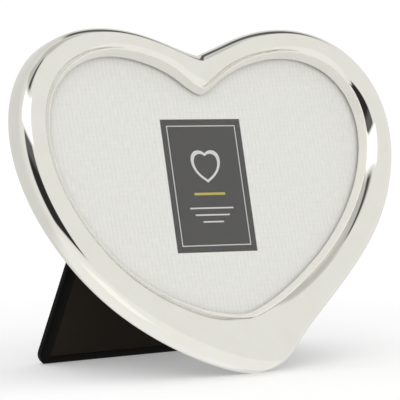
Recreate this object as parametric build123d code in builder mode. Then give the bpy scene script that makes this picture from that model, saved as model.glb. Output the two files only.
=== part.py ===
from build123d import *
import os
from math import cos, hypot, radians, sin

os.makedirs("parts", exist_ok=True)

# A heart shaped metal photo frame that stands on its tip and on a hinged back strut.
# X runs along the heart, -Y is the front and +Z is up, in millimetres.
# Heights are measured forwards from the plane of the back rim.

# Stance, in degrees
lean_angle = 17.9
strut_lean_angle = 20.0

# Front frame
heart_width = 163.0
heart_height = 132.0
band_width = 14.0
wall_height = 5.5
crown_height = 12.1
ridge_height = 6.5
shoulder_reach = 6.5
bezel_run = 1.3
metal_wall = 1.4
ledge_width = 2.5
rib_wall = 1.0

# Stack between the front frame's ledge and the rim plane
glass_front_height = 4.8
glass_thickness = 1.0
insert_thickness = 0.4
filler_thickness = 0.6
cover_thickness = 0.4
pane_clearance = 0.2

# Turn buttons and their screws
boss_radius = 2.3
screw_radius = 1.0
screw_head_radius = 1.9
screw_head_height = 0.9
screw_length = 6.0
button_radius = 3.4
button_width = 6.4
button_overlap = 4.0
button_thickness = 0.8

# Strut
strut_foot_width = 102.0
strut_top_width = 78.0
strut_thickness = 3.2
strut_skin = 0.35
strut_corner_radius = 5.0
side_border = 4.2
foot_border = 3.2
liner_gap = 0.1

# Hinge
hinge_height_share = 0.712
leaf_thickness = 0.8
leaf_width = 42.0
leaf_length = 15.0
leaf_corner_radius = 2.5
knuckle_radius = 1.9
centre_knuckle_width = 23.4
pin_radius = 1.0
pin_overhang = 0.8
heel_thickness = 1.2
rivet_radius = 1.0
rivet_head_radius = 2.0
rivet_head_height = 0.7
rivet_edge_distance = 4.0

# Clearances
running_clearance = 0.05
moving_gap = 0.3
fold_gap = 0.5

# One overrun serves every cut
overrun = 5.0

# Stations round the rim: share of the half width across, share of the height up,
# share of the band's width, and the direction across the band towards the opening.
left_station_shares = (
    (0.0000, 0.9090, 1.040, -90.0),
    (-0.0981, 0.9305, 0.817, -96.6),
    (-0.2579, 0.9704, 0.682, -104.4),
    (-0.4421, 0.9976, 0.728, -93.4),
    (-0.6387, 0.9925, 0.844, -71.2),
    (-0.8212, 0.9412, 0.969, -47.2),
    (-0.9510, 0.8375, 1.016, -25.9),
    (-1.0000, 0.6860, 1.019, -4.8),
    (-0.9600, 0.5380, 1.000, 10.3),
    (-0.8341, 0.3749, 0.971, 27.4),
    (-0.6378, 0.2272, 1.009, 42.4),
    (-0.3802, 0.1078, 1.149, 60.7),
    (-0.1101, 0.0271, 1.381, 82.1),
    (0.0865, 0.0000, 1.592, 102.5),
)
right_station_shares = (
    (0.0865, 0.0000, 1.592, 102.5),
    (0.2132, 0.0263, 1.532, 108.6),
    (0.3021, 0.0762, 1.309, 112.9),
    (0.4533, 0.1574, 1.083, 123.3),
    (0.6697, 0.2717, 0.997, 135.9),
    (0.8523, 0.3973, 1.015, 147.9),
    (0.9677, 0.5418, 0.983, 164.2),
    (0.9986, 0.6743, 0.930, 179.3),
    (0.9397, 0.8107, 0.857, -158.3),
    (0.8042, 0.9081, 0.801, -133.7),
    (0.6129, 0.9658, 0.793, -109.3),
    (0.4421, 0.9780, 0.793, -93.8),
    (0.2582, 0.9622, 0.797, -83.0),
    (0.0979, 0.9297, 0.896, -85.0),
    (0.0000, 0.9090, 1.040, -90.0),
)
outer_cleft_angle = 20.0
inner_cleft_angle = 11.5
tip_angle = 1.5
shoulder_share = 0.49

# Profile stations, in degrees from the face's normal, from the steep end to the crown
profile_angles = (90, 68, 47, 26, 6)
hollow_angle = 40

# Turn buttons: the station on each side that each one stands at
button_stations = (
    ("turn_button_upper_left", left_station_shares[5]),
    ("turn_button_lower_left", left_station_shares[9]),
    ("turn_button_upper_right", right_station_shares[9]),
    ("turn_button_lower_right", right_station_shares[5]),
)

# Sizes that follow from the ones above
hinge_height = heart_height * hinge_height_share
board_thickness = (
    glass_front_height - glass_thickness - insert_thickness - filler_thickness - cover_thickness
)
pin_height = fold_gap + strut_thickness + leaf_thickness - knuckle_radius
strut_front_offset = fold_gap - pin_height
strut_back_offset = strut_front_offset + strut_thickness
strut_top_distance = knuckle_radius + moving_gap + strut_thickness / 2
end_knuckle_start = centre_knuckle_width / 2 + moving_gap
end_knuckle_width = leaf_width / 2 - end_knuckle_start

lean_sine = sin(radians(lean_angle))
lean_cosine = cos(radians(lean_angle))
strut_sine = sin(radians(strut_lean_angle))
strut_cosine = cos(radians(strut_lean_angle))

# The tip's contact is the start of these distances behind it and above the floor
pin_back = hinge_height * lean_sine + pin_height * lean_cosine
pin_up = hinge_height * lean_cosine - pin_height * lean_sine
strut_front_length = (pin_up + strut_front_offset * strut_sine) / strut_cosine
strut_back_length = (pin_up + strut_back_offset * strut_sine) / strut_cosine
foot_back = pin_back + strut_back_length * strut_sine + strut_back_offset * strut_cosine
shoulder_rise = (crown_height - wall_height) * lean_cosine
front_reach = (
    wall_height * lean_cosine
    + hypot(shoulder_rise, shoulder_reach * lean_sine)
    - shoulder_reach * lean_sine
)
tip_y = -(foot_back - front_reach) / 2
pin_y = tip_y + pin_back

# The heels under the end knuckles stop on the back cover when the strut is open
opening_angle = lean_angle + strut_lean_angle
heel_drop = heel_thickness / 2 * cos(radians(opening_angle))
heel_length = (pin_height - moving_gap - heel_drop) / sin(radians(opening_angle))

# The frame's plane leans back; the strut's plane starts at the pin and its y runs down the strut
frame_plane = Plane(origin=(0, tip_y, 0), x_dir=(1, 0, 0), z_dir=(0, -lean_cosine, lean_sine))
strut_plane = Plane(origin=(0, pin_y, pin_up), x_dir=(1, 0, 0), z_dir=(0, strut_cosine, strut_sine))

# Cross sections through the pin: x runs up the frame or down the strut
pin_point = (0, pin_y, pin_up)
frame_section = Plane(origin=pin_point, x_dir=(0, lean_sine, lean_cosine), z_dir=(1, 0, 0))
strut_section = Plane(origin=pin_point, x_dir=(0, strut_sine, -strut_cosine), z_dir=(1, 0, 0))


def station_points(shares, inset):
    """Points along one side of the heart, each set in from the rim across the band."""
    points = []
    for across, up, band_share, direction in shares:
        distance = inset(band_width * band_share)
        x = across * heart_width / 2 + distance * cos(radians(direction))
        y = up * heart_height + distance * sin(radians(direction))
        points.append((x, y))
    return points


def draw_heart(inset, mode=Mode.ADD):
    """Draw a heart face, set in from the rim by a distance that follows the band's width."""
    depth_share = min(max(inset(band_width) / band_width, 0), 1)
    cleft_angle = outer_cleft_angle + (inner_cleft_angle - outer_cleft_angle) * depth_share
    across, along = cos(radians(cleft_angle)), sin(radians(cleft_angle))
    tip_run, tip_fall = cos(radians(tip_angle)), sin(radians(tip_angle))
    left_tangents = [(-across, along), (tip_run, -tip_fall)]
    right_tangents = [(tip_run, tip_fall), (-across, -along)]
    with BuildLine() as outline:
        Spline(
            *station_points(left_station_shares, inset),
            tangents=left_tangents,
            tangent_scalars=(1, 1),
        )
        Spline(
            *station_points(right_station_shares, inset),
            tangents=right_tangents,
            tangent_scalars=(1, 1),
        )
    make_face(outline.edges(), mode=mode)


def shoulder_width(band):
    """Width of the round outer shoulder where the band has this width."""
    return min(shoulder_reach, shoulder_share * (band - bezel_run))


def shoulder_inset(angle, wall):
    """Inset of the outer shoulder at a profile angle, inside a wall of this thickness."""
    return lambda band: wall + (shoulder_width(band) - wall) * (1 - sin(radians(angle)))


def bowl_inset(angle, wall):
    """Inset of the slope that falls from the crown to the lip, behind a wall of this thickness."""
    return lambda band: shoulder_width(band) + (
        band - bezel_run - wall - shoulder_width(band)
    ) * sin(radians(angle))


def profile_height(angle, low, high):
    """Height of a profile station between the steep end and the crown."""
    return low + (high - low) * cos(radians(angle)) / cos(radians(profile_angles[-1]))


def button_place(shares):
    """Pivot of a turn button, its length to the board, and the direction it points in."""
    across, up, band_share, direction = shares
    band = band_width * band_share
    pivot_inset = (metal_wall + band - ledge_width - rib_wall) / 2
    length = band - ledge_width + pane_clearance + button_overlap - pivot_inset
    x = across * heart_width / 2 + pivot_inset * cos(radians(direction))
    y = up * heart_height + pivot_inset * sin(radians(direction))
    return x, y, length, direction


button_places = [(name, *button_place(shares)) for name, shares in button_stations]
screw_points = [(x, y) for name, x, y, length, direction in button_places]

# The hollow behind the band follows the dome in one step
hollow_height = profile_height(hollow_angle, wall_height, crown_height - metal_wall)

# Front frame: straight outer wall, domed band, lip, bevel down to the glass, ledge and bosses
with BuildPart() as front_frame:
    with BuildSketch(frame_plane):
        draw_heart(lambda band: 0)
    extrude(amount=wall_height)
    for angle in profile_angles:
        with BuildSketch(frame_plane.offset(profile_height(angle, wall_height, crown_height))):
            draw_heart(shoulder_inset(angle, 0))
    loft()
    for angle in profile_angles:
        with BuildSketch(frame_plane.offset(profile_height(angle, ridge_height, crown_height))):
            draw_heart(bowl_inset(angle, 0))
    loft(mode=Mode.SUBTRACT)
    with BuildSketch(frame_plane.offset(ridge_height)):
        draw_heart(lambda band: band - bezel_run)
    with BuildSketch(frame_plane.offset(glass_front_height)):
        draw_heart(lambda band: band)
    loft(mode=Mode.SUBTRACT)
    with BuildSketch(frame_plane.offset(-overrun)):
        draw_heart(lambda band: band - ledge_width)
    extrude(amount=overrun + glass_front_height, mode=Mode.SUBTRACT)
    with BuildSketch(frame_plane.offset(-overrun)):
        draw_heart(lambda band: metal_wall)
        draw_heart(lambda band: band - ledge_width - rib_wall, Mode.SUBTRACT)
    extrude(amount=overrun + wall_height, mode=Mode.SUBTRACT)
    with BuildSketch(frame_plane.offset(-overrun)):
        draw_heart(shoulder_inset(hollow_angle, metal_wall))
        draw_heart(bowl_inset(hollow_angle, metal_wall), Mode.SUBTRACT)
    extrude(amount=overrun + hollow_height, mode=Mode.SUBTRACT)
    with BuildSketch(frame_plane):
        with Locations(*screw_points):
            Circle(boss_radius)
    extrude(amount=hollow_height + metal_wall / 2)
    with BuildSketch(frame_plane.offset(-overrun)):
        with Locations(*screw_points):
            Circle(screw_radius)
    extrude(amount=overrun + screw_length, mode=Mode.SUBTRACT)
front_frame.part.label = "front_frame"
export_step(front_frame.part, "parts/front_frame.step")


def pane_inset(band):
    """Edge of the glass and of all that is stacked behind it."""
    return band - ledge_width + pane_clearance


# Glass pane
glass_back_height = glass_front_height - glass_thickness
with BuildPart() as glass_pane:
    with BuildSketch(frame_plane.offset(glass_back_height)):
        draw_heart(pane_inset)
    extrude(amount=glass_thickness)
glass_pane.part.label = "glass_pane"
export_step(glass_pane.part, "parts/glass_pane.step")

# Printed insert card behind the glass
insert_back_height = glass_back_height - insert_thickness
with BuildPart() as insert_card:
    with BuildSketch(frame_plane.offset(insert_back_height)):
        draw_heart(pane_inset)
    extrude(amount=insert_thickness)
insert_card.part.label = "insert_card"
export_step(insert_card.part, "parts/insert_card.step")

# Filler card that takes up the slack behind the insert
filler_back_height = insert_back_height - filler_thickness
with BuildPart() as filler_card:
    with BuildSketch(frame_plane.offset(filler_back_height)):
        draw_heart(pane_inset)
    extrude(amount=filler_thickness)
filler_card.part.label = "filler_card"
export_step(filler_card.part, "parts/filler_card.step")

# Places of the rivets on both hinge leaves
rivet_distance = leaf_length - rivet_edge_distance
upper_rivet_offset = centre_knuckle_width / 2 - rivet_edge_distance
lower_rivet_offset = leaf_width / 2 - rivet_edge_distance
upper_rivet_points = [
    (side * upper_rivet_offset, hinge_height + rivet_distance) for side in (-1, 1)
]
lower_rivet_points = [(side * lower_rivet_offset, rivet_distance) for side in (-1, 1)]

# Back board
with BuildPart() as back_board:
    with BuildSketch(frame_plane.offset(cover_thickness)):
        draw_heart(pane_inset)
    extrude(amount=board_thickness)
    with BuildSketch(frame_plane.offset(-overrun)):
        with Locations(*upper_rivet_points):
            Circle(rivet_radius + running_clearance)
    extrude(amount=2 * overrun + glass_front_height, mode=Mode.SUBTRACT)
back_board.part.label = "back_board"
export_step(back_board.part, "parts/back_board.step")

# Black covering on the back board
with BuildPart() as back_cover:
    with BuildSketch(frame_plane):
        draw_heart(pane_inset)
    extrude(amount=cover_thickness)
    with BuildSketch(frame_plane.offset(-overrun)):
        with Locations(*upper_rivet_points):
            Circle(rivet_radius + running_clearance)
    extrude(amount=2 * overrun, mode=Mode.SUBTRACT)
back_cover.part.label = "back_cover"
export_step(back_cover.part, "parts/back_cover.step")

# Turn buttons, each a plate that laps over the board from its screw
for name, x, y, length, direction in button_places:
    with BuildPart() as turn_button:
        with BuildSketch(frame_plane.offset(-moving_gap - button_thickness)):
            with Locations(Location((x, y, 0), direction)):
                Circle(button_radius)
                with Locations((length / 2, 0)):
                    Rectangle(length, button_width)
                with Locations((length, 0)):
                    Circle(button_width / 2)
            with Locations((x, y)):
                Circle(screw_radius + running_clearance, mode=Mode.SUBTRACT)
        extrude(amount=button_thickness)
    turn_button.part.label = name
    export_step(turn_button.part, f"parts/{name}.step")

# Screws of the turn buttons, in the bosses of the front frame
screw_head_level = -moving_gap - button_thickness - moving_gap
with BuildPart() as button_screws:
    with BuildSketch(frame_plane.offset(screw_head_level)):
        with Locations(*screw_points):
            Circle(screw_radius)
    extrude(amount=screw_length - screw_head_level)
    with BuildSketch(frame_plane.offset(screw_head_level - screw_head_height)):
        with Locations(*screw_points):
            Circle(screw_head_radius)
    extrude(amount=screw_head_height)
    facing = Axis(frame_plane.origin, frame_plane.z_dir)
    back_edges = button_screws.edges().filter_by(GeomType.CIRCLE).sort_by(facing)
    chamfer(back_edges[: len(screw_points)], length=screw_head_height / 3)
button_screws.part.label = "button_screws"
export_step(button_screws.part, "parts/button_screws.step")

# Hinge leaf riveted to the back board, with the centre knuckle
with BuildPart() as hinge_leaf_upper:
    with BuildSketch(frame_plane.offset(-leaf_thickness)) as upper_plate:
        with Locations((0, hinge_height + leaf_length / 2)):
            Rectangle(centre_knuckle_width, leaf_length)
        fillet(upper_plate.vertices().group_by(Axis.Y)[-1], radius=leaf_corner_radius)
    extrude(amount=leaf_thickness)
    with BuildSketch(frame_section):
        Circle(knuckle_radius)
        with Locations((knuckle_radius / 2, pin_height / 2)):
            Rectangle(knuckle_radius, pin_height)
    extrude(amount=centre_knuckle_width / 2, both=True)
    with BuildSketch(frame_section):
        Circle(pin_radius)
    extrude(amount=leaf_width, both=True, mode=Mode.SUBTRACT)
    with BuildSketch(frame_plane.offset(-overrun)):
        with Locations(*upper_rivet_points):
            Circle(rivet_radius + running_clearance)
    extrude(amount=2 * overrun, mode=Mode.SUBTRACT)
hinge_leaf_upper.part.label = "hinge_leaf_upper"
export_step(hinge_leaf_upper.part, "parts/hinge_leaf_upper.step")

# Hinge pin, tight in the centre knuckle
with BuildPart() as hinge_pin:
    with BuildSketch(frame_section):
        Circle(pin_radius)
    extrude(amount=leaf_width / 2 + pin_overhang, both=True)
hinge_pin.part.label = "hinge_pin"
export_step(hinge_pin.part, "parts/hinge_pin.step")

# Rivets of the upper leaf, through the cover and the board
with BuildPart() as hinge_rivets_upper:
    with BuildSketch(frame_plane.offset(-leaf_thickness)):
        with Locations(*upper_rivet_points):
            Circle(rivet_radius)
    extrude(amount=leaf_thickness + cover_thickness + board_thickness)
    with BuildSketch(frame_plane.offset(-leaf_thickness - rivet_head_height)):
        with Locations(*upper_rivet_points):
            Circle(rivet_head_radius)
    extrude(amount=rivet_head_height)
hinge_rivets_upper.part.label = "hinge_rivets_upper"
export_step(hinge_rivets_upper.part, "parts/hinge_rivets_upper.step")

# Hinge leaf riveted to the strut, with the two end knuckles and their heels
plate_start = knuckle_radius + moving_gap
with BuildPart() as hinge_leaf_lower:
    with BuildSketch(strut_plane.offset(strut_back_offset)) as lower_plate:
        with Locations((0, (plate_start + leaf_length) / 2)):
            Rectangle(leaf_width, leaf_length - plate_start)
        fillet(lower_plate.vertices().group_by(Axis.Y)[-1], radius=leaf_corner_radius)
        for side in (-1, 1):
            with Locations((side * (end_knuckle_start + end_knuckle_width / 2), leaf_length / 4)):
                Rectangle(end_knuckle_width, leaf_length / 2)
    extrude(amount=leaf_thickness)
    with BuildSketch(strut_section.offset(end_knuckle_start)):
        Circle(knuckle_radius)
        with Locations((-heel_length / 2, 0)):
            Rectangle(heel_length, heel_thickness)
    extrude(amount=end_knuckle_width)
    with BuildSketch(strut_section.offset(-end_knuckle_start)):
        Circle(knuckle_radius)
        with Locations((-heel_length / 2, 0)):
            Rectangle(heel_length, heel_thickness)
    extrude(amount=-end_knuckle_width)
    with BuildSketch(strut_section):
        Circle(pin_radius + running_clearance)
    extrude(amount=leaf_width, both=True, mode=Mode.SUBTRACT)
    with BuildSketch(strut_plane.offset(-overrun)):
        with Locations(*lower_rivet_points):
            Circle(rivet_radius + running_clearance)
    extrude(amount=2 * overrun, mode=Mode.SUBTRACT)
hinge_leaf_lower.part.label = "hinge_leaf_lower"
export_step(hinge_leaf_lower.part, "parts/hinge_leaf_lower.step")

# Rivets of the lower leaf, through the wrap and the board of the strut
with BuildPart() as hinge_rivets_lower:
    with BuildSketch(strut_plane.offset(strut_front_offset + strut_skin)):
        with Locations(*lower_rivet_points):
            Circle(rivet_radius)
    extrude(amount=strut_thickness - strut_skin + leaf_thickness)
    with BuildSketch(strut_plane.offset(strut_back_offset + leaf_thickness)):
        with Locations(*lower_rivet_points):
            Circle(rivet_head_radius)
    extrude(amount=rivet_head_height)
hinge_rivets_lower.part.label = "hinge_rivets_lower"
export_step(hinge_rivets_lower.part, "parts/hinge_rivets_lower.step")


def draw_strut(inset, corner_radius):
    """Draw the strut's flared face, set in from its edges, with round corners at the foot."""
    top = strut_top_distance + inset
    foot = strut_back_length - inset
    flare = (strut_foot_width - strut_top_width) / 2 / (strut_back_length - strut_top_distance)
    top_half = strut_top_width / 2 + flare * inset - inset
    foot_half = strut_foot_width / 2 - flare * inset - inset
    with BuildLine() as outline:
        Polyline(
            (-top_half, top),
            (-foot_half, foot),
            (foot_half, foot),
            (top_half, top),
            close=True,
        )
    face = make_face(outline.edges())
    fillet(face.vertices().group_by(Axis.Y)[-1], radius=corner_radius)


def draw_window(gap):
    """Draw the opening that the turned-in border leaves on the strut's front."""
    top = strut_top_distance + side_border + gap
    foot = strut_front_length - foot_border - gap
    flare = (strut_foot_width - strut_top_width) / 2 / (strut_back_length - strut_top_distance)
    top_half = strut_top_width / 2 + flare * side_border - side_border - gap
    foot_half = top_half + flare * (foot - top)
    with BuildLine() as outline:
        Polyline(
            (-top_half, top),
            (-foot_half, foot),
            (foot_half, foot),
            (top_half, top),
            close=True,
        )
    make_face(outline.edges())


# Board inside the strut, its foot cut level with the floor
with BuildPart() as strut_board:
    with BuildSketch(strut_plane.offset(strut_front_offset + strut_skin)):
        draw_strut(strut_skin, strut_corner_radius - strut_skin)
    extrude(amount=strut_thickness - 2 * strut_skin)
    split(bisect_by=Plane.XY.offset(strut_skin), keep=Keep.TOP)
    with BuildSketch(strut_plane.offset(-overrun)):
        with Locations(*lower_rivet_points):
            Circle(rivet_radius + running_clearance)
    extrude(amount=2 * overrun, mode=Mode.SUBTRACT)
strut_board.part.label = "strut_board"
export_step(strut_board.part, "parts/strut_board.step")

# Covering of the strut, folded round its edges and turned in on the front
with BuildPart() as strut_wrap:
    with BuildSketch(strut_plane.offset(strut_front_offset)):
        draw_strut(0, strut_corner_radius)
    extrude(amount=strut_thickness)
    split(bisect_by=Plane.XY, keep=Keep.TOP)
    add(strut_board.part, mode=Mode.SUBTRACT)
    with BuildSketch(strut_plane.offset(strut_front_offset - overrun)):
        draw_window(0)
    extrude(amount=overrun + strut_skin, mode=Mode.SUBTRACT)
    with BuildSketch(strut_plane.offset(-overrun)):
        with Locations(*lower_rivet_points):
            Circle(rivet_radius + running_clearance)
    extrude(amount=2 * overrun, mode=Mode.SUBTRACT)
strut_wrap.part.label = "strut_wrap"
export_step(strut_wrap.part, "parts/strut_wrap.step")

# Matte liner inside the turned-in border
with BuildPart() as strut_liner:
    with BuildSketch(strut_plane.offset(strut_front_offset)):
        draw_window(liner_gap)
    extrude(amount=strut_skin)
strut_liner.part.label = "strut_liner"
export_step(strut_liner.part, "parts/strut_liner.step")
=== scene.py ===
"""Heart shaped photo frame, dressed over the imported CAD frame.

All lengths are in metres and in the shared frame: X along the heart, -Y the way the glass faces, Z up.
Heights on the heart are measured forwards from the plane of its back rim.
"""

import logging
import math
from dataclasses import dataclass, field
from enum import Enum
from typing import Callable

import bmesh
import bpy
import numpy as np
from mathutils import Matrix, Vector


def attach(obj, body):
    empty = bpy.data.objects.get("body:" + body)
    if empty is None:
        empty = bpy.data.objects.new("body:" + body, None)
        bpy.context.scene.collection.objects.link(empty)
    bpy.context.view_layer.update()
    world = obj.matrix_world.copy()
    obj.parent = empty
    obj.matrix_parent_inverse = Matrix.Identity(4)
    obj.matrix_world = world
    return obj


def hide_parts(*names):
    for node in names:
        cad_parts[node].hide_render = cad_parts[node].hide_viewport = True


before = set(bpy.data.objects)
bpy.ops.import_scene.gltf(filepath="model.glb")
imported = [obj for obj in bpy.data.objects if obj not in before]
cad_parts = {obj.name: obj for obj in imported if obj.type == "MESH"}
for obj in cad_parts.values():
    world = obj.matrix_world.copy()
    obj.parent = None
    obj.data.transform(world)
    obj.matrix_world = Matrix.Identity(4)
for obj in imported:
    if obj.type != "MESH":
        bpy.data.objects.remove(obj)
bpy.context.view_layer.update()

logging.basicConfig(level=logging.INFO, format="%(message)s")
log = logging.getLogger("heart_frame")

MM = 0.001
Colour = tuple[float, float, float]
Material = bpy.types.Material
Socket = bpy.types.NodeSocket
Station = tuple[float, float, float, float]
Inset = Callable[[float], float]
Height = Callable[[float], float]

WHITE: Colour = (1.0, 1.0, 1.0)
# Points closer than this are merged.
MERGE_WITHIN = 0.001 * MM
# How far in from both sides the middle of a small rounded corner lies, as a share of its radius.
ROUNDING_SHARE = 0.3
# Most of a noise factor lies between these values.
NOISE_SPAN = (0.3, 0.7)


class Body(Enum):
    """The CAD bodies that pieces ride on."""

    FRAME = "frame"
    STRUT = "strut"


class Slot(Enum):
    """The record's material slots."""

    SILVER = "silver_plate"
    GLASS = "clear_glass"
    PRINT = "printed_card"
    PLAIN_CARD = "plain_card"
    HARDBOARD = "hardboard"
    BACK_CLOTH = "black_cloth"
    LEATHERCLOTH = "black_leathercloth"
    LINING = "strut_lining"
    NICKEL = "plated_steel"


class Zone(Enum):
    """How far a part of the casting is finished."""

    # Raw is unpolished metal; under the bevel's foot its dark colour is also painted shade, the dark line
    # at the card's edge.
    RAW = 0.0
    # The satin zone's near-white colour is a painted reflection of the pale card on the bevel and lip.
    SATIN = 1.0
    POLISHED = 2.0


@dataclass(frozen=True)
class SectionPoint:
    """One corner of the band's section: how far in from the rim, how high, and its finish."""

    inset: Inset
    height: float | Height
    zone: Zone

    def height_at(self, band: float) -> float:
        """Height where the band has this width."""
        return self.height(band) if callable(self.height) else self.height


def from_rim(distance: float) -> Inset:
    """Inset that stays this far in from the rim."""
    return lambda band: distance


def from_opening(distance: float) -> Inset:
    """Inset that stays this far out from the opening."""
    return lambda band: band - distance


def toned(colour: Colour, share: float) -> Colour:
    """A colour times a share."""
    return tuple(part * share for part in colour)


# Stations round the rim: share of the half width across, share of the height up,
# share of the band's width, and the direction across the band towards the opening.
LEFT_STATIONS: tuple[Station, ...] = (
    (0.0000, 0.9090, 1.040, -90.0),
    (-0.0981, 0.9305, 0.817, -96.6),
    (-0.2579, 0.9704, 0.682, -104.4),
    (-0.4421, 0.9976, 0.728, -93.4),
    (-0.6387, 0.9925, 0.844, -71.2),
    (-0.8212, 0.9412, 0.969, -47.2),
    (-0.9510, 0.8375, 1.016, -25.9),
    (-1.0000, 0.6860, 1.019, -4.8),
    (-0.9600, 0.5380, 1.000, 10.3),
    (-0.8341, 0.3749, 0.971, 27.4),
    (-0.6378, 0.2272, 1.009, 42.4),
    (-0.3802, 0.1078, 1.149, 60.7),
    (-0.1101, 0.0271, 1.381, 82.1),
    (0.0865, 0.0000, 1.592, 102.5),
)
RIGHT_STATIONS: tuple[Station, ...] = (
    (0.0865, 0.0000, 1.592, 102.5),
    (0.2132, 0.0263, 1.532, 108.6),
    (0.3021, 0.0762, 1.309, 112.9),
    (0.4533, 0.1574, 1.083, 123.3),
    (0.6697, 0.2717, 0.997, 135.9),
    (0.8523, 0.3973, 1.015, 147.9),
    (0.9677, 0.5418, 0.983, 164.2),
    (0.9986, 0.6743, 0.930, 179.3),
    (0.9397, 0.8107, 0.857, -158.3),
    (0.8042, 0.9081, 0.801, -133.7),
    (0.6129, 0.9658, 0.793, -109.3),
    (0.4421, 0.9780, 0.793, -93.8),
    (0.2582, 0.9622, 0.797, -83.0),
    (0.0979, 0.9297, 0.896, -85.0),
    (0.0000, 0.9090, 1.040, -90.0),
)


@dataclass(frozen=True)
class HeartOutline:
    """The heart's outline and the rings set in from it across the band.

    The directions at the cleft and the tip are in degrees from level.
    """

    width: float = 163 * MM
    height: float = 132 * MM
    band: float = 14 * MM
    outer_cleft: float = 20.0
    inner_cleft: float = 11.5
    tip: float = 1.5
    left_samples: int = 168
    right_samples: int = 156

    def bands(self) -> np.ndarray:
        """Width of the band at each point of a ring.

        Returns:
            An array of widths.
        """
        left = self._side_bands(LEFT_STATIONS, self.left_samples)
        right = self._side_bands(RIGHT_STATIONS, self.right_samples)
        return np.concatenate([left, right])

    def _side_bands(self, stations: tuple[Station, ...], samples: int) -> np.ndarray:
        """Width of the band along one side, leaving out its last point.

        Args:
            stations: the table of that side.
            samples: points to return.

        Returns:
            An array of widths.
        """
        rim = self._knots(stations, from_rim(0.0))
        shares = self._run_lengths(rim)
        wanted = np.linspace(0.0, shares[-1], samples + 1)[:-1]
        return np.interp(wanted, shares, [self.band * station[2] for station in stations])

    def ring(self, inset: Inset) -> np.ndarray:
        """Points of one closed ring, from the cleft by the left lobe and the tip.

        Args:
            inset: distance in from the rim, as a function of the band's width.

        Returns:
            An array of (x, y) on the heart's plane.
        """
        share = min(max(inset(self.band) / self.band, 0.0), 1.0)
        cleft = math.radians(self.outer_cleft + (self.inner_cleft - self.outer_cleft) * share)
        tip = math.radians(self.tip)
        across, along = math.cos(cleft), math.sin(cleft)
        run, fall = math.cos(tip), math.sin(tip)
        left = self._side(LEFT_STATIONS, inset, ((-across, along), (run, -fall)), self.left_samples)
        right = self._side(RIGHT_STATIONS, inset, ((run, fall), (-across, -along)), self.right_samples)
        return np.vstack([left, right])

    def _side(
        self,
        stations: tuple[Station, ...],
        inset: Inset,
        tangents: tuple[tuple[float, float], tuple[float, float]],
        samples: int,
    ) -> np.ndarray:
        """Sample one side's curve, leaving out its last point.

        Args:
            stations: the table of that side.
            inset: distance in from the rim, as a function of the band's width.
            tangents: unit directions at the start and the end.
            samples: points to return.

        Returns:
            An array of (x, y).
        """
        knots = self._knots(stations, inset)
        rim = self._knots(stations, from_rim(0.0))
        shares = self._run_lengths(rim)
        lengths = self._run_lengths(knots)
        slopes = self._slopes(knots, lengths, tangents)
        wanted = np.linspace(0.0, shares[-1], samples + 1)[:-1]
        span = np.clip(np.searchsorted(shares, wanted, side="right") - 1, 0, len(knots) - 2)
        part = ((wanted - shares[span]) / (shares[span + 1] - shares[span]))[:, None]
        step = (lengths[span + 1] - lengths[span])[:, None]
        start, end = knots[span], knots[span + 1]
        return (
            (2 * part**3 - 3 * part**2 + 1) * start
            + (part**3 - 2 * part**2 + part) * step * slopes[span]
            + (3 * part**2 - 2 * part**3) * end
            + (part**3 - part**2) * step * slopes[span + 1]
        )

    def _knots(self, stations: tuple[Station, ...], inset: Inset) -> np.ndarray:
        """Places of one side's stations, set in across the band."""
        return np.array([self.place(station, inset) for station in stations])

    def place(self, station: Station, inset: Inset) -> tuple[float, float]:
        """Place one station on the heart's plane, set in across the band.

        Args:
            station: a row of a table of stations.
            inset: distance in from the rim, as a function of the band's width.

        Returns:
            Its x and y.
        """
        across, up, band_share, direction = station
        distance = inset(self.band * band_share)
        turn = math.radians(direction)
        x = across * self.width / 2 + distance * math.cos(turn)
        y = up * self.height + distance * math.sin(turn)
        return x, y

    @staticmethod
    def _run_lengths(points: np.ndarray) -> np.ndarray:
        """Length along the chords up to each point."""
        return np.concatenate([[0.0], np.cumsum(np.hypot(*np.diff(points, axis=0).T))])

    @staticmethod
    def _slopes(
        knots: np.ndarray,
        lengths: np.ndarray,
        tangents: tuple[tuple[float, float], tuple[float, float]],
    ) -> np.ndarray:
        """Slopes at the knots of the smoothest cubic with these end directions.

        Args:
            knots: points that the curve goes through.
            lengths: chord length up to each of them.
            tangents: unit directions at both ends.

        Returns:
            One slope for each knot.
        """
        count = len(knots)
        steps = np.diff(lengths)
        matrix = np.eye(count)
        right = np.zeros((count, 2))
        right[0] = tangents[0]
        right[-1] = tangents[1]
        for k in range(1, count - 1):
            before, after = steps[k - 1], steps[k]
            matrix[k, k - 1 : k + 2] = after, 2 * (before + after), before
            rise = after * (knots[k] - knots[k - 1]) / before
            fall = before * (knots[k + 1] - knots[k]) / after
            right[k] = 3 * (rise + fall)
        return np.linalg.solve(matrix, right)


@dataclass(frozen=True)
class Stance:
    """How the heart and the strut stand on the floor."""

    lean: float = math.radians(17.9)
    strut_lean: float = math.radians(20.0)
    tip_y: float = -27.483 * MM
    pin_y: float = 3.878 * MM
    pin_z: float = 88.636 * MM

    def on_heart(self, x: float, y: float, height: float) -> Vector:
        """World place of a point on the heart: x across, y up the face, height in front of the rim."""
        sine, cosine = math.sin(self.lean), math.cos(self.lean)
        return Vector((x, self.tip_y + y * sine - height * cosine, y * cosine + height * sine))

    def on_strut(self, x: float, down: float, back: float) -> Vector:
        """World place of a point on the strut.

        Args:
            x: distance across.
            down: distance down the strut from the pin.
            back: depth behind the pin.

        Returns:
            The place.
        """
        sine, cosine = math.sin(self.strut_lean), math.cos(self.strut_lean)
        y = self.pin_y + down * sine + back * cosine
        return Vector((x, y, self.pin_z - down * cosine + back * sine))

    def heart_matrix(self) -> Matrix:
        """Turn and shift from world to the heart's x across, y up the face and z forwards.

        Returns:
            The matrix.
        """
        origin = self.on_heart(0, 0, 0)
        across = Vector((1, 0, 0))
        up = self.on_heart(0, 1, 0) - origin
        front = self.on_heart(0, 0, 1) - origin
        columns = Matrix((across, up, front)).transposed().to_4x4()
        return (Matrix.Translation(origin) @ columns).inverted()


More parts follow.
